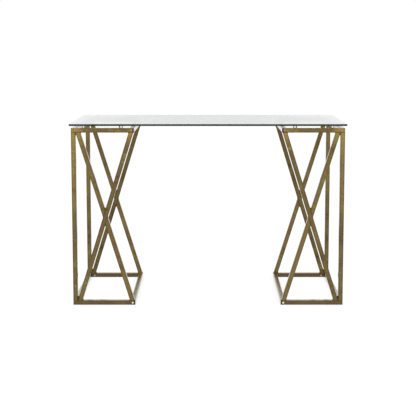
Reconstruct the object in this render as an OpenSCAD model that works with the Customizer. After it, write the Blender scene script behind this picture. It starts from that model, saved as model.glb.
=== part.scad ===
// Glass-topped dressing table on two open pedestals of square steel tube.
// The origin is on the floor under the middle of the table. +X runs along the table, from the
// left pedestal to the right one, and +Y runs from the front to the back.

/* [Pedestals] */
// Height of a pedestal, from the floor to the top of its upper rails
frame_h = 745; // [650:1:850]
// Distance over both pedestals, from outer face to outer face
frame_w = 1130; // [900:1:1400]
// Depth of a pedestal, from front to back
frame_d = 492; // [350:1:650]
// Width of one pedestal
pedestal_w = 260; // [180:1:330]

/* [Steel tube] */
// Side of the square tube
tube = 19; // [14:0.5:22]
// Thickness of the tube's wall
wall = 1.5; // [1:0.1:2]
// Radius of the tube's outside corners
tube_r = 2.2; // [1:0.1:2.5]
// Radius, seen from above, that the welded corners without a post are ground to
corner_r = 3.5; // [1.5:0.1:3.5]

/* [Glass] */
// Thickness of the glass
glass_t = 8; // [6:1:12]
// How far the glass stands out past the pedestals, on every side
glass_over = 8; // [0:1:20]
// Radius of the glass's corners, seen from above
glass_r = 6; // [3:1:20]
// Width of the ground bevel along the glass's edges
arris = 0.5; // [0.5:0.1:1.5]

/* [Clear pads] */
// Diameter of a pad
pad_d = 17; // [12:1:22]
// Height of a pad, which is the gap between the rails and the glass
pad_h = 9; // [5:1:15]
// Distance from a pad's centre to the end of its rail
pad_inset = 54; // [30:1:70]
// Width of the bevel round a pad's two rims
pad_bevel = 0.6; // [0.3:0.1:1]

/* [Hidden] */
$fn = 64;
SIDES = ["left", "right"];
LEVELS = ["bottom", "top"];
FACES = ["front", "back"];
RAILS = ["front", "back", "outer", "inner"];
FACE_PIECES = ["post", "long_brace", "upper_half_brace", "lower_half_brace",
    "outer_pad", "inner_pad"];

// How far a cutting solid reaches past what it cuts
over = 5;
glass_w = frame_w + 2 * glass_over;
glass_d = frame_d + 2 * glass_over;

// A brace starts on the rail in the corner beside the post, and its centre line ends on the
// centre of the opposite corner of the rails, where there is no post.
brace_run = pedestal_w - 1.5 * tube;
brace_rise = frame_h - 1.5 * tube;
brace_tilt = acos(tube / 2 / norm([brace_run, brace_rise])) - atan2(brace_rise, brace_run);
cross_x = tube + tube / 2 / cos(brace_tilt) + (frame_h / 2 - tube) * tan(brace_tilt);
brace_reach = pedestal_w + frame_h;

BRONZE = [0.43, 0.35, 0.22];
CLEAR_GREEN = [0.72, 0.84, 0.79, 0.45];
CLEAR = [0.86, 0.88, 0.85, 0.6];

// The section of the square tube, with its corner at the origin
module tube_section() {
    difference() {
        union() {
            translate([tube_r, 0]) square([tube - 2 * tube_r, tube]);
            translate([0, tube_r]) square([tube, tube - 2 * tube_r]);
            for (x = [tube_r, tube - tube_r], y = [tube_r, tube - tube_r])
                translate([x, y]) circle(tube_r);
        }
        translate([wall, wall]) square(tube - 2 * wall);
    }
}

// What a radius of r takes off a square corner at the origin
module corner_waste(r) {
    difference() {
        translate([-over, -over]) square(r + over);
        translate([r, r]) circle(r);
    }
}

// A rail along +X whose long face is at y = 0, with both ends cut for 45 degree mitres and
// its long face rounded off to the radius r0 at its start and r1 at its end
module mitred_rail(len, r0, r1) {
    intersection() {
        rotate([90, 0, 90]) linear_extrude(len) tube_section();
        translate([0, 0, -over]) linear_extrude(tube + 2 * over) difference() {
            polygon([[-over, -over], [len + over, -over],
                [len - tube - over, tube + over], [tube + over, tube + over]]);
            corner_waste(r0);
            translate([len, 0]) mirror([1, 0]) corner_waste(r1);
        }
    }
}

// One of the four rails of a pedestal's bottom or top ring
module rail(which, level) {
    color(BRONZE) translate([0, 0, level == "top" ? frame_h - tube : 0]) {
        if (which == "front") mitred_rail(pedestal_w, tube_r, corner_r);
        if (which == "back")
            translate([0, frame_d, 0]) mirror([0, 1, 0])
                mitred_rail(pedestal_w, tube_r, corner_r);
        if (which == "outer") mirror([1, -1, 0]) mitred_rail(frame_d, tube_r, tube_r);
        if (which == "inner")
            translate([pedestal_w, 0, 0]) mirror([1, 0, 0]) mirror([1, -1, 0])
                mitred_rail(frame_d, corner_r, corner_r);
    }
}

// The upright at the outer corner, between the two rings
module post() {
    color(BRONZE) translate([0, 0, tube]) linear_extrude(frame_h - 2 * tube) tube_section();
}

// Places its children at the middle of the crossed braces, leaning outwards at the top when
// lean is -1 and inwards when it is 1
module at_crossing(lean) {
    translate([cross_x, 0, frame_h / 2]) rotate([0, lean * brace_tilt, 0]) children();
}

// A leaning tube, cut off level where it meets the rings
module brace_tube(lean) {
    intersection() {
        at_crossing(lean) translate([-tube / 2, 0, -brace_reach / 2])
            linear_extrude(brace_reach) tube_section();
        translate([-over, -over, tube])
            cube([pedestal_w + 2 * over, tube + 2 * over, frame_h - 2 * tube]);
    }
}

// The whole brace, from the inner top corner to the outer bottom corner
module long_brace() {
    color(BRONZE) brace_tube(1);
}

// Half of the crossing brace, cut to fit against the side of the long one
module half_brace(upper) {
    color(BRONZE) difference() {
        brace_tube(-1);
        at_crossing(1) translate([upper ? -tube / 2 : -brace_reach, -over, -brace_reach / 2])
            cube([brace_reach + tube / 2, tube + 2 * over, brace_reach]);
    }
}

// A clear pad on top of a front or back rail, a distance x from the outer end
module pad(x) {
    color(CLEAR) translate([x, tube / 2, frame_h]) rotate_extrude()
        polygon(bevelled_half(pad_d / 2, pad_h, pad_bevel));
}

// Right half of a bevelled plate's section, from its middle out to r
function bevelled_half(r, h, bevel) = [
    [0, 0], [r - bevel, 0], [r, bevel], [r, h - bevel], [r - bevel, h], [0, h]];

// A bar along +X with a bevelled section d wide and glass_t high
module bevelled_bar(len, d) {
    rotate([90, 0, 90]) linear_extrude(len)
        polygon([[arris, 0], [d - arris, 0], [d, arris], [d, glass_t - arris],
            [d - arris, glass_t], [arris, glass_t], [0, glass_t - arris], [0, arris]]);
}

// The loose glass plate, with rounded corners and bevelled edges
module glass_top() {
    color(CLEAR_GREEN) translate([-glass_w / 2, -glass_d / 2, frame_h + pad_h]) {
        translate([glass_r, 0, 0]) bevelled_bar(glass_w - 2 * glass_r, glass_d);
        translate([0, glass_r, 0]) mirror([1, -1, 0])
            bevelled_bar(glass_d - 2 * glass_r, glass_w);
        for (x = [glass_r, glass_w - glass_r], y = [glass_r, glass_d - glass_r])
            translate([x, y, 0]) rotate_extrude()
                polygon(bevelled_half(glass_r, glass_t, arris));
    }
}

// Places its children, which are drawn for a pedestal with its outer front corner at the origin
module on_side(side) {
    mirror([side == "right" ? 1 : 0, 0, 0]) translate([-frame_w / 2, -frame_d / 2, 0]) children();
}

// Places its children, which are drawn for the front of a pedestal, on its front or back
module on_face(face) {
    if (face == "front") children();
    if (face == "back") translate([0, frame_d, 0]) mirror([0, 1, 0]) children();
}

for (side = SIDES) on_side(side) {
    for (level = LEVELS, which = RAILS)
        rail(which, level);
    for (face = FACES) on_face(face) {
        post();
        long_brace();
        half_brace(true);
        half_brace(false);
        pad(pad_inset);
        pad(pedestal_w - pad_inset);
    }
}
glass_top();
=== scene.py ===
import math
import random

import bmesh
import bpy
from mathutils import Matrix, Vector


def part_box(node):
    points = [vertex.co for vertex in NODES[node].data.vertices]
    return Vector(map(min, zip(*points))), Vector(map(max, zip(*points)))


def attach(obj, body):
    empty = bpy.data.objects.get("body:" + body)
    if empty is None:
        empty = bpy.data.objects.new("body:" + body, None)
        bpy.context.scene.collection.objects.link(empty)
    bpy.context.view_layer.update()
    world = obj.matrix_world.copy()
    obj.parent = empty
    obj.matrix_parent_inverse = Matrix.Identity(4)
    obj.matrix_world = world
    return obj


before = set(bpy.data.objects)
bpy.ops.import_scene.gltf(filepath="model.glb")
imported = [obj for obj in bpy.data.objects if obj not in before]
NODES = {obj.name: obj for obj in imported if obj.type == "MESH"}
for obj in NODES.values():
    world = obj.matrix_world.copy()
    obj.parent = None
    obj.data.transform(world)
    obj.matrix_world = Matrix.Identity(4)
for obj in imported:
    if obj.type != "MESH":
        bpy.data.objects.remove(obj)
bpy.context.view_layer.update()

STEEL_BODY = "pedestals"
SIDES = {"left": -1, "right": 1}
FACES = ("front", "back")
LEVELS = ("bottom", "top")

# All sizes and places are in metres. These are read from the frame.
OUTER_X = -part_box("left_outer_bottom_rail")[0].x
INNER_X = -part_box("left_inner_bottom_rail")[1].x
PEDESTAL = OUTER_X - INNER_X
HALF_DEPTH = -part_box("left_front_bottom_rail")[0].y
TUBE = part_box("left_front_bottom_rail")[1].z
FRAME_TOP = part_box("left_front_top_rail")[1].z
MID_Z = FRAME_TOP / 2


def brace_lean():
    """How far the braces lean from upright, in radians. A brace's box is as wide as its run
    and its level cut together, so the angle settles after a few rounds."""
    low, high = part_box("left_front_long_brace")
    lean = 0.0
    for _ in range(12):
        lean = math.atan2(high.x - low.x - TUBE / math.cos(lean), high.z - low.z)
    return lean


# LEVEL_CUT is a brace's width where it is cut off level, and CROSSING is the distance from a
# pedestal's outer face to the middle of its crossed braces.
LEAN = brace_lean()
LEVEL_CUT = TUBE / math.cos(LEAN)
CROSSING = TUBE + LEVEL_CUT / 2 + (MID_Z - TUBE) * math.tan(LEAN)


# ---------------------------------------------------------------- shader nodes

class Nodes:
    """A node tree, built by short calls that return output sockets."""

    def __init__(self, tree):
        self.tree = tree
        self.coordinates = self.node("ShaderNodeTexCoord")

    def node(self, kind, **settings):
        made = self.tree.nodes.new(kind)
        for key, value in settings.items():
            setattr(made, key, value)
        return made

    def link(self, source, target):
        self.tree.links.new(source, target)

    def fill(self, socket, value):
        """Links value to a socket if it is a socket itself, and sets it there if not."""
        if isinstance(value, bpy.types.NodeSocket):
            self.link(value, socket)
        elif isinstance(value, tuple):
            socket.default_value = (*value, 1.0)
        else:
            socket.default_value = value

    def point(self, turn=(0, 0, 0), stretch=(1, 1, 1), output="Object"):
        """A place or a normal in the object's own frame, turned and then stretched."""
        turned = self.node("ShaderNodeMapping", vector_type="VECTOR")
        turned.inputs["Rotation"].default_value = turn
        self.link(self.coordinates.outputs[output], turned.inputs["Vector"])
        stretched = self.node("ShaderNodeMapping", vector_type="VECTOR")
        stretched.inputs["Scale"].default_value = stretch
        self.link(turned.outputs["Vector"], stretched.inputs["Vector"])
        return stretched.outputs["Vector"]

    def split(self, vector):
        """The X, Y and Z of a vector."""
        made = self.node("ShaderNodeSeparateXYZ")
        self.link(vector, made.inputs["Vector"])
        return list(made.outputs)

    def sizes(self, vector):
        """The X, Y and Z of a vector, each without its sign."""
        return [self.math("ABSOLUTE", part) for part in self.split(vector)]

    def noise(self, point, scale, detail=3.0, roughness=0.55):
        """Noise with about scale waves in a metre."""
        made = self.node("ShaderNodeTexNoise")
        made.inputs["Scale"].default_value = scale
        made.inputs["Detail"].default_value = detail
        made.inputs["Roughness"].default_value = roughness
        self.link(point, made.inputs["Vector"])
        return made.outputs["Fac"]

    def range(self, source, low, high, new_low=0.0, new_high=1.0, kind="SMOOTHSTEP"):
        """Carries low to new_low and high to new_high, with soft ends unless kind is LINEAR."""
        made = self.node("ShaderNodeMapRange", interpolation_type=kind)
        for name, value in (("From Min", low), ("From Max", high),
                            ("To Min", new_low), ("To Max", new_high)):
            made.inputs[name].default_value = value
        self.link(source, made.inputs["Value"])
        return made.outputs["Result"]

    def math(self, operation, first, second=0.0):
        made = self.node("ShaderNodeMath", operation=operation)
        self.fill(made.inputs[0], first)
        self.fill(made.inputs[1], second)
        return made.outputs["Value"]

    def away(self, value, place):
        """How far a value is from a place."""
        return self.math("ABSOLUTE", self.math("SUBTRACT", value, place))

    def length(self, first, second):
        """The distance whose two steps, at right angles, are first and second."""
        squares = [self.math("MULTIPLY", step, step) for step in (first, second)]
        return self.math("SQRT", self.math("ADD", *squares))

    def mix(self, factor, first, second):
        """A colour between first and second. The Mix node has a set of sockets for each kind of
        value, and these numbers are the ones for colours."""
        made = self.node("ShaderNodeMix", data_type="RGBA")
        self.fill(made.inputs[0], factor)
        self.fill(made.inputs[6], first)
        self.fill(made.inputs[7], second)
        return made.outputs[2]

    def ramp(self, source, *stops):
        made = self.node("ShaderNodeValToRGB")
        elements = made.color_ramp.elements
        while len(elements) < len(stops):
            elements.new(0.5)
        for element, (place, colour) in zip(elements, stops):
            element.position = place
            element.color = (*colour, 1.0)
        self.link(source, made.inputs["Fac"])
        return made.outputs["Color"]

    def bump(self, height, strength, distance, normal=None):
        made = self.node("ShaderNodeBump")
        made.inputs["Strength"].default_value = strength
        made.inputs["Distance"].default_value = distance
        self.link(height, made.inputs["Height"])
        if normal is not None:
            self.link(normal, made.inputs["Normal"])
        return made.outputs["Normal"]


class Shader(Nodes):
    """A material with one Principled shader."""

    def __init__(self, name):
        self.material = bpy.data.materials.new(name)
        self.material.use_nodes = True
        self.material.node_tree.nodes.clear()
        super().__init__(self.material.node_tree)
        self.bsdf = self.node("ShaderNodeBsdfPrincipled")
        self.output = self.node("ShaderNodeOutputMaterial")
        self.link(self.bsdf.outputs["BSDF"], self.output.inputs["Surface"])

    def set(self, **values):
        """Values of the shader's own sockets, with _ for each space of a socket's name."""
        for name, value in values.items():
            self.fill(self.bsdf.inputs[name.replace("_", " ")], value)


# ------------------------------------------------------------- places on tubes

# Anything that differs between the front and back halves of the table fades from one to the
# other within HALF_FADE of the middle. The painted light behind is the given share of what it is
# in front.
HALF_FADE = 0.1
BACK_PAINTED_LIGHT = 0.4


def front_to_back(s, front, back):
    """A value that is front on the front half of the table and back on the back half."""
    y = s.split(s.coordinates.outputs["Object"])[1]
    return s.range(y, -HALF_FADE, HALF_FADE, front, back)


def dimmer_at_back(s, amount):
    """Painted light that is full on the front half of the table and weaker behind."""
    return s.math("MULTIPLY", amount, front_to_back(s, 1.0, BACK_PAINTED_LIGHT))


def from_face_axis(s, y):
    """How far a place is from the axis of the front or back tubes, front to back."""
    return s.away(y, HALF_DEPTH - TUBE / 2)


def from_rail_axis(s, z):
    """How far a place is from the axis of the bottom or top rails, up or down."""
    return s.away(s.away(z, MID_Z), MID_Z - TUBE / 2)


class Tubes:
    """A set of tubes that are painted alike. turn brings their length onto the Z axis, red says
    how much redder they are than the posts, one method says where they are lighter and golden,
    mostly as painted light, and another where they are darker and redder still, as painted shade.
    off_axis gives a place's distances from a tube's axis."""
    turn = (0, 0, 0)
    red = 0.0

    def gold_and_painted_light(self, s):
        return 0.0

    def painted_shade(self, s):
        return 0.0


class Posts(Tubes):
    """The upper half of a post gets golden painted light, lighter than below, and its top adds to
    that, from top_from of the frame's height."""
    upper_half = 0.40
    half_starts = MID_Z - 0.01
    half_full = MID_Z + 0.05
    top = 0.55
    top_from = 0.8

    def off_axis(self, s):
        x, y, _ = s.sizes(s.point())
        return s.away(x, OUTER_X - TUBE / 2), from_face_axis(s, y)

    def gold_and_painted_light(self, s):
        z = s.sizes(s.point())[2]
        half = s.range(z, self.half_starts, self.half_full, 0.0, self.upper_half)
        top = s.range(z, self.top_from * FRAME_TOP, FRAME_TOP - TUBE, 0.0, self.top)
        return dimmer_at_back(s, s.math("ADD", half, top))


class Braces(Tubes):
    """Rubbed to gold as far as rubbed says. Towards the top the ones in front get golden painted
    light, up to a set share, and the ones behind get painted shade. way is 1 for braces that lean
    to the right and -1 for those to the left."""
    top_painted_light = 0.85
    painted_light_reach = 0.085
    top_painted_shade = 0.6
    painted_shade_reach = 0.25

    def __init__(self, way, rubbed):
        self.way = way
        self.rubbed = rubbed
        self.turn = (0, -way * LEAN, 0)

    def off_axis(self, s):
        across = s.split(s.point(self.turn))[0]
        from_middle = s.away(across, -self.way * MID_Z * math.sin(LEAN))
        y = s.sizes(s.point())[1]
        return s.away(from_middle, (OUTER_X - CROSSING) * math.cos(LEAN)), from_face_axis(s, y)

    def gold_and_painted_light(self, s):
        z = s.sizes(s.point())[2]
        end = s.range(z, FRAME_TOP - self.painted_light_reach, FRAME_TOP - TUBE)
        more = front_to_back(s, self.top_painted_light - self.rubbed, 0.0)
        return s.math("ADD", self.rubbed, s.math("MULTIPLY", end, more))

    def painted_shade(self, s):
        z = s.sizes(s.point())[2]
        end = s.range(z, FRAME_TOP - self.painted_shade_reach, FRAME_TOP - TUBE)
        return s.math("MULTIPLY", end, front_to_back(s, 0.0, self.top_painted_shade))


class CrossRails(Tubes):
    """The rails along the front and back. The top ones get golden painted light, most at their
    ends and the outer end most, and the bottom ones painted shade, the back one most."""
    turn = (0, -math.pi / 2, 0)
    red = 0.35
    between_ends = 0.10
    outer_end = 0.9
    outer_from = OUTER_X - 0.065
    inner_end = 0.4
    inner_from = INNER_X + 0.045
    front_painted_shade = 0.32
    back_painted_shade = 0.85

    def off_axis(self, s):
        _, y, z = s.sizes(s.point())
        return from_face_axis(s, y), from_rail_axis(s, z)

    def gold_and_painted_light(self, s):
        x, _, z = s.sizes(s.point())
        outer = s.range(x, self.outer_from, OUTER_X - TUBE, self.between_ends, self.outer_end)
        inner = s.range(x, self.inner_from, INNER_X + TUBE, self.between_ends, self.inner_end)
        ends = dimmer_at_back(s, s.math("MAXIMUM", outer, inner))
        return s.math("MULTIPLY", ends, s.range(z, MID_Z, FRAME_TOP))

    def painted_shade(self, s):
        bottom = s.range(s.sizes(s.point())[2], TUBE, MID_Z, 1.0, 0.0)
        return s.math("MULTIPLY", bottom, front_to_back(s, self.front_painted_shade, self.back_painted_shade))


class SideRails(Tubes):
    """The rails that run from front to back, which get neither the golden painted light nor the
    painted shade that other tubes get by place.
    """
    turn = (math.pi / 2, 0, 0)
    red = 0.35

    def off_axis(self, s):
        x, _, z = s.sizes(s.point())
        nearer = s.math("MINIMUM", s.away(x, OUTER_X - TUBE / 2), s.away(x, INNER_X + TUBE / 2))
        return nearer, from_rail_axis(s, z)


# ------------------------------------------------------------- bronzed tubes

UMBER = (0.087, 0.055, 0.018)
RED_BROWN = (0.150, 0.088, 0.024)
PAINTED_SHADE_RED = (0.105, 0.060, 0.020)
BRONZE = (0.165, 0.113, 0.032)
OLIVE = (0.168, 0.130, 0.034)
GOLD = (0.400, 0.268, 0.058)
WORN_GOLD = (0.340, 0.250, 0.090)
PAINTED_GLINT = (0.900, 0.855, 0.755)
TOP_SHEEN_COLOUR = (0.420, 0.390, 0.290)
PAINTED_EDGE_SHADE = (0.044, 0.031, 0.014)
DARK_WELD_AND_SHADE = (0.016, 0.014, 0.008)

# The bronze's tones, each at its place on a scale of noise that is CLOUD_SHARE clouds and the
# rest mottle
CLOUD_SHARE = 0.6
TONES = ((0.38, UMBER), (0.45, RED_BROWN), (0.51, BRONZE), (0.57, OLIVE), (0.66, GOLD))

# Scales of noise, from broad to fine, and how much the brushing is drawn out along a tube
CLOUDS = 14.0
MOTTLE = 90.0
WELD_MOTTLE = 260.0
GRAIN = 700.0
BRUSHING = 1100.0
WELD_GRAIN = 1500.0
ALONG = (1.0, 1.0, 0.03)

# How much darker a tube's faces get towards their sides, as painted shade, and how much
# darker as painted shade, duller and more worn the rounded edges are
SIDES_PAINTED_SHADE = 0.5
EDGES_PAINTED_SHADE = 0.35
EDGES_DULL = 0.12
EDGES_WORN = 0.5

# How much paler the bottom rails' top faces are painted, a painted sheen of reflected light,
# on what is within the fade below of their height
TOP_SHEEN = 0.45
TOP_SHEEN_CORE = 0.0005
TOP_SHEEN_FADE = 0.0030

# The painted dark reflection of a ground corner is full to CORNER_CORE from it and gone at
# CORNER_FADE. A painted highlight is full to SPOT_CORE from its middle and gone at SPOT_FADE,
# or SPOT_SKIN below its face, and it is fainter on the top rings.
CORNER_CORE = 0.0045
CORNER_FADE = 0.0085
SPOT_FROM_CORNER = 0.0105
SPOT_CORE = 0.0026
SPOT_FADE = 0.0052
SPOT_ON_TOP = 0.18
SPOT_SKIN = 0.0015
FAINT_SPOT = 0.4
FAINT_SPOT_X = OUTER_X - 0.034
FAINT_SPOT_Z = 0.008
FAINT_SPOT_CORE = 0.0020
FAINT_SPOT_FADE = 0.0050

# Heights of the bumps in the finish
BUMP_FINE = 0.00003
BUMP_BROAD = 0.00012


def paint_top_sheen(s, colour):
    """The top faces of the bottom rails are painted paler, a painted sheen of reflected light."""
    z = s.sizes(s.point())[2]
    level = s.sizes(s.point(output="Normal"))[2]
    near = s.range(s.away(z, TUBE), TOP_SHEEN_FADE, TOP_SHEEN_CORE, 0.0, TOP_SHEEN)
    return s.mix(s.math("MULTIPLY", near, s.range(level, 0.8, 1.0)), colour, TOP_SHEEN_COLOUR)


def paint_corner_shade_and_glints(s, colour):
    """The ground corners of the rings that have no post get a painted dark reflection, with a
    painted highlight beside each, and the inner faces of the bottom rails have a faint painted
    highlight near their outer ends."""
    x, y, z = s.sizes(s.point())
    off_x = s.math("SUBTRACT", x, INNER_X)
    off_y = s.math("SUBTRACT", y, HALF_DEPTH)
    off_rail = from_rail_axis(s, z)
    on_ring = s.range(off_rail, TUBE / 2 + 0.0004, TUBE / 2)
    # Painted dark reflection in the corner
    painted_shade = s.range(s.length(off_x, off_y), CORNER_FADE, CORNER_CORE)
    colour = s.mix(s.math("MULTIPLY", painted_shade, on_ring), colour, DARK_WELD_AND_SHADE)

    # Painted highlight beside the corner
    off_spot = s.length(s.math("SUBTRACT", off_x, SPOT_FROM_CORNER), off_rail)
    glint = s.math("MULTIPLY", s.range(off_spot, SPOT_FADE, SPOT_CORE),
                  s.range(off_y, -SPOT_SKIN, -0.2 * SPOT_SKIN))
    glint = s.math("MULTIPLY", glint, s.range(z, TUBE, MID_Z, 1.0, SPOT_ON_TOP))
    colour = s.mix(glint, colour, PAINTED_GLINT)

    # Faint painted highlight on the inner face of the bottom rail
    off_spot = s.length(s.math("SUBTRACT", x, FAINT_SPOT_X), s.math("SUBTRACT", z, FAINT_SPOT_Z))
    glint = s.math("MULTIPLY", s.range(off_spot, FAINT_SPOT_FADE, FAINT_SPOT_CORE),
                  s.range(s.math("ADD", off_y, TUBE), SPOT_SKIN, 0.2 * SPOT_SKIN))
    return s.mix(s.math("MULTIPLY", glint, FAINT_SPOT), colour, PAINTED_GLINT)


def bronze_steel(name, tubes):
    """Steel tube with an antique bronze finish under clear lacquer, brushed along the tube and
    darker towards its edges as painted shade. tubes is the set of tubes it is for."""
    s = Shader(name)
    place = s.point()
    clouds = s.noise(place, CLOUDS, 3.0, 0.6)
    mottle = s.noise(place, MOTTLE, 5.0, 0.7)
    grain = s.noise(place, GRAIN, 3.0, 0.6)
    brushed = s.noise(s.point(tubes.turn, ALONG), BRUSHING, 3.0, 0.6)

    tone = s.math("ADD", s.math("MULTIPLY", clouds, CLOUD_SHARE),
                  s.math("MULTIPLY", mottle, 1.0 - CLOUD_SHARE))
    colour = s.mix(tubes.red, s.ramp(tone, *TONES), RED_BROWN)
    # Painted shade: darker and redder where the tubes are set to have it
    colour = s.mix(tubes.painted_shade(s), colour, PAINTED_SHADE_RED)
    patchy = s.range(mottle, 0.35, 0.6, 0.65, 1.0)
    # Lighter and golden where the tubes are set to be: painted light, and on the braces also their
    # rubbed tone
    colour = s.mix(s.math("MULTIPLY", patchy, tubes.gold_and_painted_light(s)), colour, GOLD)
    # Painted shade: each face darker towards its sides
    off_centre = s.math("MINIMUM", *tubes.off_axis(s))
    side_shade = s.range(off_centre, 0.0, TUBE / 2, 0.0, SIDES_PAINTED_SHADE, "LINEAR")
    colour = s.mix(side_shade, colour, PAINTED_EDGE_SHADE)

    # The rounded edges have normals along none of the tube's own axes: they get painted shade
    # there, the finish lies dull, and it is worn through in specks
    flatness = s.math("MAXIMUM", *s.sizes(s.point(tubes.turn, output="Normal"))[:2])
    edge = s.range(flatness, 0.995, 0.93)
    colour = s.mix(s.math("MULTIPLY", edge, EDGES_PAINTED_SHADE), colour, PAINTED_EDGE_SHADE)
    worn = s.math("MULTIPLY", edge, s.range(grain, 0.56, 0.68))
    colour = s.mix(s.math("MULTIPLY", worn, EDGES_WORN), colour, WORN_GOLD)
    # Painted sheen on the bottom rails' tops, then painted dark reflections and painted highlights
    # at the ring corners
    colour = paint_corner_shade_and_glints(s, paint_top_sheen(s, colour))

    rough = s.math("ADD", s.range(mottle, 0.3, 0.7, 0.22, 0.34, "LINEAR"),
                   s.range(brushed, 0.3, 0.7, -0.05, 0.05, "LINEAR"))
    rough = s.math("ADD", rough, s.math("MULTIPLY", edge, EDGES_DULL))
    normal = s.bump(brushed, 0.20, BUMP_FINE)
    normal = s.bump(grain, 0.10, BUMP_FINE, normal)
    normal = s.bump(mottle, 0.10, BUMP_BROAD, normal)
    s.set(Base_Color=colour, Metallic=1.0, Roughness=rough, Normal=normal,
          Coat_Weight=1.0, Coat_Roughness=0.10, Coat_IOR=1.3)
    return s.material


def weld_steel():
    """The same finish over the beads of weld, in darker tones and darkest near the floor."""
    s = Shader("bronze_weld")
    place = s.point()
    z = s.sizes(place)[2]
    mottle = s.noise(place, WELD_MOTTLE, 4.0, 0.65)
    grain = s.noise(place, WELD_GRAIN, 2.0, 0.6)
    colour = s.ramp(mottle, (0.40, DARK_WELD_AND_SHADE), (0.54, UMBER), (0.70, RED_BROWN))
    colour = s.mix(s.range(z, 0.1, MID_Z - 0.05, 0.0, 0.7), colour, BRONZE)
    s.set(Base_Color=colour, Metallic=1.0, Roughness=s.range(mottle, 0.3, 0.7, 0.30, 0.50),
          Normal=s.bump(grain, 0.4, 2 * BUMP_FINE),
          Coat_Weight=0.10, Coat_Roughness=0.2, Coat_IOR=1.5)
    return s.material


# ------------------------------------------------------- clear pieces and floor

GLASS = (0.88, 1.0, 0.94)
GLASS_SHINE = (0.92, 1.0, 0.95)
GLASS_DEPTHS = (0.12, 0.42, 0.28, 1.0)
GLASS_DENSITY = 13.0
PLASTIC = (0.92, 0.95, 0.90)
PLASTIC_EDGE_REFLECTION = (0.03, 0.06, 0.04)
FLOOR = (0.19, 0.19, 0.19)
FLOOR_PALER = (0.21, 0.21, 0.21)
FLOOR_GLOW = 0.74
FLOOR_PATCHES = 1.3
SMEARS = 9.0
PLASTIC_GRAIN = 400.0
WHITE = (1.0, 1.0, 1.0)


def clear_glass():
    """Clear float glass, faintly green inside and faintly smeared outside, with a polish on its
    two faces that makes them better mirrors at a low angle."""
    s = Shader("clear_glass")
    smear = s.noise(s.point(), SMEARS, 4.0, 0.6)
    level = s.sizes(s.point(output="Normal"))[2]
    s.set(Base_Color=GLASS, Transmission_Weight=1.0, IOR=1.52, Specular_Tint=GLASS_SHINE,
          Roughness=s.range(smear, 0.5, 0.8, 0.0, 0.015), Coat_Weight=s.range(level, 0.8, 1.0),
          Coat_Roughness=0.0, Coat_IOR=1.5)
    inside = s.node("ShaderNodeVolumeAbsorption")
    inside.inputs["Color"].default_value = GLASS_DEPTHS
    inside.inputs["Density"].default_value = GLASS_DENSITY
    s.link(inside.outputs["Volume"], s.output.inputs["Volume"])
    return s.material


def clear_plastic():
    """Moulded clear plastic, very slightly cloudy, and darker where it is seen edge on, as a
    painted dark reflection.
    """
    s = Shader("clear_plastic")
    grain = s.noise(s.point(), PLASTIC_GRAIN, 2.0, 0.5)
    edge_on = s.node("ShaderNodeLayerWeight").outputs["Facing"]
    s.set(Base_Color=s.mix(s.range(edge_on, 0.08, 0.35), PLASTIC, PLASTIC_EDGE_REFLECTION),
          Transmission_Weight=1.0, IOR=1.49, Roughness=s.range(grain, 0.3, 0.7, 0.02, 0.10),
          Normal=s.bump(grain, 0.1, BUMP_FINE))
    return s.material


def white_floor():
    """A floor lit mostly from within, as a light table is, so that shadows on it are faint."""
    s = Shader("studio_floor")
    tone = s.noise(s.point(), FLOOR_PATCHES, 2.0, 0.5)
    s.set(Base_Color=s.mix(tone, FLOOR, FLOOR_PALER), Roughness=0.9,
          Specular_IOR_Level=0.1, Emission_Color=WHITE, Emission_Strength=FLOOR_GLOW)
    return s.material


# -------------------------------------------------------------------- painting

def paint(node, material):
    """Gives every slot of a CAD node's object the same material."""
    slots = NODES[node].data.materials
    if not slots:
        slots.append(None)
    for index in range(len(slots)):
        slots[index] = material


def paint_steel():
    posts = bronze_steel("bronze_posts", Posts())
    cross_rails = bronze_steel("bronze_cross_rails", CrossRails())
    side_rails = bronze_steel("bronze_side_rails", SideRails())
    for side, sign in SIDES.items():
        long_braces = bronze_steel(f"bronze_{side}_long_braces", Braces(-sign, rubbed=0.0))
        half_braces = bronze_steel(f"bronze_{side}_half_braces", Braces(sign, rubbed=0.2))
        for level in LEVELS:
            for which in FACES:
                paint(f"{side}_{which}_{level}_rail", cross_rails)
            for which in ("outer", "inner"):
                paint(f"{side}_{which}_{level}_rail", side_rails)
        for face in FACES:
            paint(f"{side}_{face}_post", posts)
            paint(f"{side}_{face}_long_brace", long_braces)
            for half in ("upper", "lower"):
                paint(f"{side}_{face}_{half}_half_brace", half_braces)


def paint_clear_pieces():
    """The glass casts no shadow, so that it doesn't darken what stands under it."""
    paint("glass_top", clear_glass())
    NODES["glass_top"].visible_shadow = False
    plastic = clear_plastic()
    for side in SIDES:
        for face in FACES:
            for where in ("outer", "inner"):
                paint(f"{side}_{face}_{where}_pad", plastic)


# ----------------------------------------------------------------------- welds

# A bead is made of sections WELD_STEP apart, each a point sunk in the corner and an arc of
# WELD_ARC chords that crowns out by WELD_CROWN of its width. The width ripples, varies at
# random and falls to WELD_END of itself at both ends.
WELD_STEP = 0.0011
WELD_SUNK = 0.0003
WELD_ARC = 5
WELD_CROWN = 0.30
WELD_WIDTH = 0.92
WELD_RIPPLE = 0.09
WELD_UNEVEN = 0.06
WELD_END = 0.45
DICE = random.Random(7)

# Beads across a tube's face stop short of its rounded edges
EDGE = 0.0012

# Widths of the beads: the fills of the sharp angles beside the posts, the fillets at the ends
# of the braces, the fills and seams of the crossing, and the seams of the rings and posts
LOW_WEDGE = 0.014
HIGH_WEDGE = 0.009
FILLET = 0.0032
OUTER_FILLET = 0.0018
NOTCH = 0.006
SEAM = 0.003
RING_SEAM = 0.0035


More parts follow.
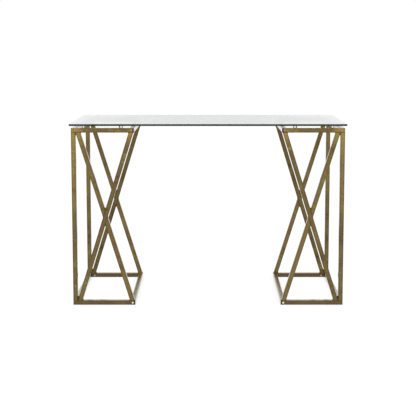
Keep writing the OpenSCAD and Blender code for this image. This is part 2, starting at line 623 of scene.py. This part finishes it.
class Welds:
    """The beads of weld of one face of a pedestal or of half a ring, in one mesh. Places are
    given as u, v and z: u is the distance from the pedestal's outer face and v the distance
    from its front or back face."""

    def __init__(self, side, face):
        self.sign = SIDES[side]
        self.front = face == "front"
        self.mesh = bmesh.new()

    def place(self, u, v, z):
        y = HALF_DEPTH - v
        return Vector((self.sign * (OUTER_X - u), -y if self.front else y, z))

    def bead(self, corner, run, side_a, side_b, leg):
        """A bead that starts at corner, follows run, and lies between two faces. side_a and
        side_b lead away from the corner along those faces, and leg is its width on each."""
        steps = round(Vector(run).length / WELD_STEP)
        rings = []
        for step in range(steps + 1):
            along = step / steps
            ends = min(1.0, WELD_END + 4.0 * min(along, 1.0 - along))
            ripple = WELD_RIPPLE * math.sin(2.4 * step)
            width = leg * ends * (WELD_WIDTH + ripple + DICE.uniform(-WELD_UNEVEN, WELD_UNEVEN))
            rings.append(self.ring(corner, run, along, side_a, side_b, width))
        for first, second in zip(rings, rings[1:]):
            for index in range(len(first)):
                after = (index + 1) % len(first)
                self.mesh.faces.new((first[index], first[after], second[after], second[index]))
        self.mesh.faces.new(rings[0])
        self.mesh.faces.new(reversed(rings[-1]))

    def ring(self, corner, run, along, side_a, side_b, width):
        """One section of a bead."""
        a, b, centre = Vector(side_a), Vector(side_b), Vector(corner) + Vector(run) * along
        points = [centre - (a + b).normalized() * WELD_SUNK]
        for index in range(WELD_ARC + 1):
            part = index / WELD_ARC
            crown = 1.0 + WELD_CROWN * math.sin(math.pi * part)
            points.append(centre + (a * (1.0 - part) + b * part) * width * crown)
        return [self.mesh.verts.new(self.place(*point)) for point in points]

    def finish(self, name, material):
        bmesh.ops.recalc_face_normals(self.mesh, faces=self.mesh.faces)
        data = bpy.data.meshes.new(name)
        self.mesh.to_mesh(data)
        self.mesh.free()
        data.materials.append(material)
        data.shade_smooth()
        welds = bpy.data.objects.new(name, data)
        bpy.context.scene.collection.objects.link(welds)
        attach(welds, STEEL_BODY)


def face_welds(side, face, material):
    """The beads round the ends of the braces and where they cross, on one face of a pedestal.
    A brace starts beside the post and is centred on the opposite corner, where there is none."""
    welds = Welds(side, face)
    across = (0.0, TUBE - 2 * EDGE, 0.0)
    outwards, inwards = (-1.0, 0.0, 0.0), (1.0, 0.0, 0.0)
    sin, cos = math.sin(LEAN), math.cos(LEAN)
    far_end = PEDESTAL - TUBE / 2 * (1.0 + math.tan(LEAN)) - LEVEL_CUT / 2
    for up, z, wedge in ((1, TUBE, LOW_WEDGE), (-1, FRAME_TOP - TUBE, HIGH_WEDGE)):
        from_post = (sin, 0.0, up * cos)
        to_post = (-sin, 0.0, up * cos)
        for u, side_a, side_b, leg in (
                (TUBE, (0.0, 0.0, up), from_post, wedge),
                (TUBE + LEVEL_CUT, inwards, from_post, FILLET),
                (far_end, outwards, to_post, FILLET),
                (far_end + LEVEL_CUT, inwards, to_post, OUTER_FILLET)):
            welds.bead((u, EDGE, z), across, side_a, side_b, leg)
        notch = MID_Z + up * TUBE / 2 / sin
        welds.bead((CROSSING, EDGE, notch), across, to_post, from_post, NOTCH)
        cheek = CROSSING + up * LEVEL_CUT / 2
        welds.bead((cheek, EDGE, MID_Z), across, (up * sin, 0.0, cos), (up * sin, 0.0, -cos), SEAM)
    welds.finish(f"{side}_{face}_welds", material)


def ring_welds(side, level, material):
    """The beads in the inside corners of a ring, and where the sides of its two posts that face
    each other meet it."""
    if level == "bottom":
        base, seat, up = 0.0, TUBE, 1
    else:
        base, seat, up = FRAME_TOP - TUBE, FRAME_TOP - TUBE, -1
    length = TUBE - 2 * EDGE
    inwards = (0.0, 1.0, 0.0)
    for face in FACES:
        welds = Welds(side, face)
        for u, way in ((TUBE, 1.0), (PEDESTAL - TUBE, -1.0)):
            welds.bead((u, TUBE, base + EDGE), (0.0, 0.0, length), (way, 0.0, 0.0), inwards,
                       RING_SEAM)
        welds.bead((EDGE, TUBE, seat), (length, 0.0, 0.0), inwards, (0.0, 0.0, up), SEAM)
        welds.finish(f"{side}_{face}_{level}_corner_welds", material)


def add_welds():
    material = weld_steel()
    for side in SIDES:
        for face in FACES:
            face_welds(side, face, material)
        for level in LEVELS:
            ring_welds(side, level, material)


# ---------------------------------------------------------------------- studio

MIDDLE = (0.0, 0.0, MID_Z)

# The camera, fitted to the corners in the photograph. Its distance is from the table's front.
CAMERA_DISTANCE = 3.885
CAMERA_HEIGHT = 1.096
CAMERA_TILT = math.radians(6.22)
CAMERA_LENS = 82.06
CAMERA_SHIFT = -0.15

# The softboxes. The keys hang high, so that the views from beside the table show no bright
# mirror images of them in the glass.
OVERHEAD = {"location": (0.0, -0.3, 3.0), "size": (3.0, 2.2), "power": 16.0}
KEY_LEFT = {"location": (-2.2, -2.4, 3.6), "size": (2.0, 2.0), "power": 32.0}
KEY_RIGHT = {"location": (2.2, -2.4, 3.6), "size": (2.0, 2.0), "power": 32.0}

# Brightness of the studio's walls at the horizon and overhead, and what is added to the sides
HORIZON = 0.80
CEILING = 1.25
TO_THE_SIDES = 0.12


def add_camera():
    data = bpy.data.cameras.new("camera")
    data.sensor_width = 36.0
    data.lens = CAMERA_LENS
    data.shift_y = CAMERA_SHIFT
    data.clip_end = 100.0
    camera = bpy.data.objects.new("camera", data)
    camera.location = (0.0, -HALF_DEPTH - CAMERA_DISTANCE, CAMERA_HEIGHT)
    camera.rotation_euler = (math.pi / 2 - CAMERA_TILT, 0.0, 0.0)
    bpy.context.scene.collection.objects.link(camera)
    bpy.context.scene.camera = camera


def add_softbox(name, location, size, power):
    """A lit rectangle that faces the middle of the table and isn't seen itself."""
    data = bpy.data.lights.new(name, "AREA")
    data.shape = "RECTANGLE"
    data.size, data.size_y = size
    data.energy = power
    light = bpy.data.objects.new(name, data)
    light.location = location
    light.rotation_euler = (Vector(MIDDLE) - light.location).to_track_quat("-Z", "Y").to_euler()
    light.visible_camera = False
    bpy.context.scene.collection.objects.link(light)


def add_floor():
    bpy.ops.mesh.primitive_plane_add(size=60.0)
    floor = bpy.context.object
    floor.name = "studio_floor"
    floor.data.materials.append(white_floor())


def add_world():
    """A white studio that is dimmer near the horizon than overhead, and dimmest straight in
    front and behind, with plain white where the camera looks past the table."""
    world = bpy.data.worlds.new("studio")
    bpy.context.scene.world = world
    world.use_nodes = True
    s = Nodes(world.node_tree)
    x, _, z = s.split(s.coordinates.outputs["Generated"])
    rise = s.range(z, 0.05, 0.60, HORIZON, CEILING)
    aside = s.range(s.math("ABSOLUTE", x), 0.03, 0.16, 0.0, TO_THE_SIDES)
    seen = s.node("ShaderNodeLightPath").outputs["Is Camera Ray"]
    background = world.node_tree.nodes["Background"]
    s.fill(background.inputs["Color"], WHITE)
    s.link(s.math("MAXIMUM", s.math("ADD", rise, aside), seen), background.inputs["Strength"])


paint_steel()
paint_clear_pieces()
add_welds()
add_camera()
add_floor()
add_world()
add_softbox("overhead", **OVERHEAD)
add_softbox("key_left", **KEY_LEFT)
add_softbox("key_right", **KEY_RIGHT)
bpy.context.scene.view_settings.view_transform = "Standard"
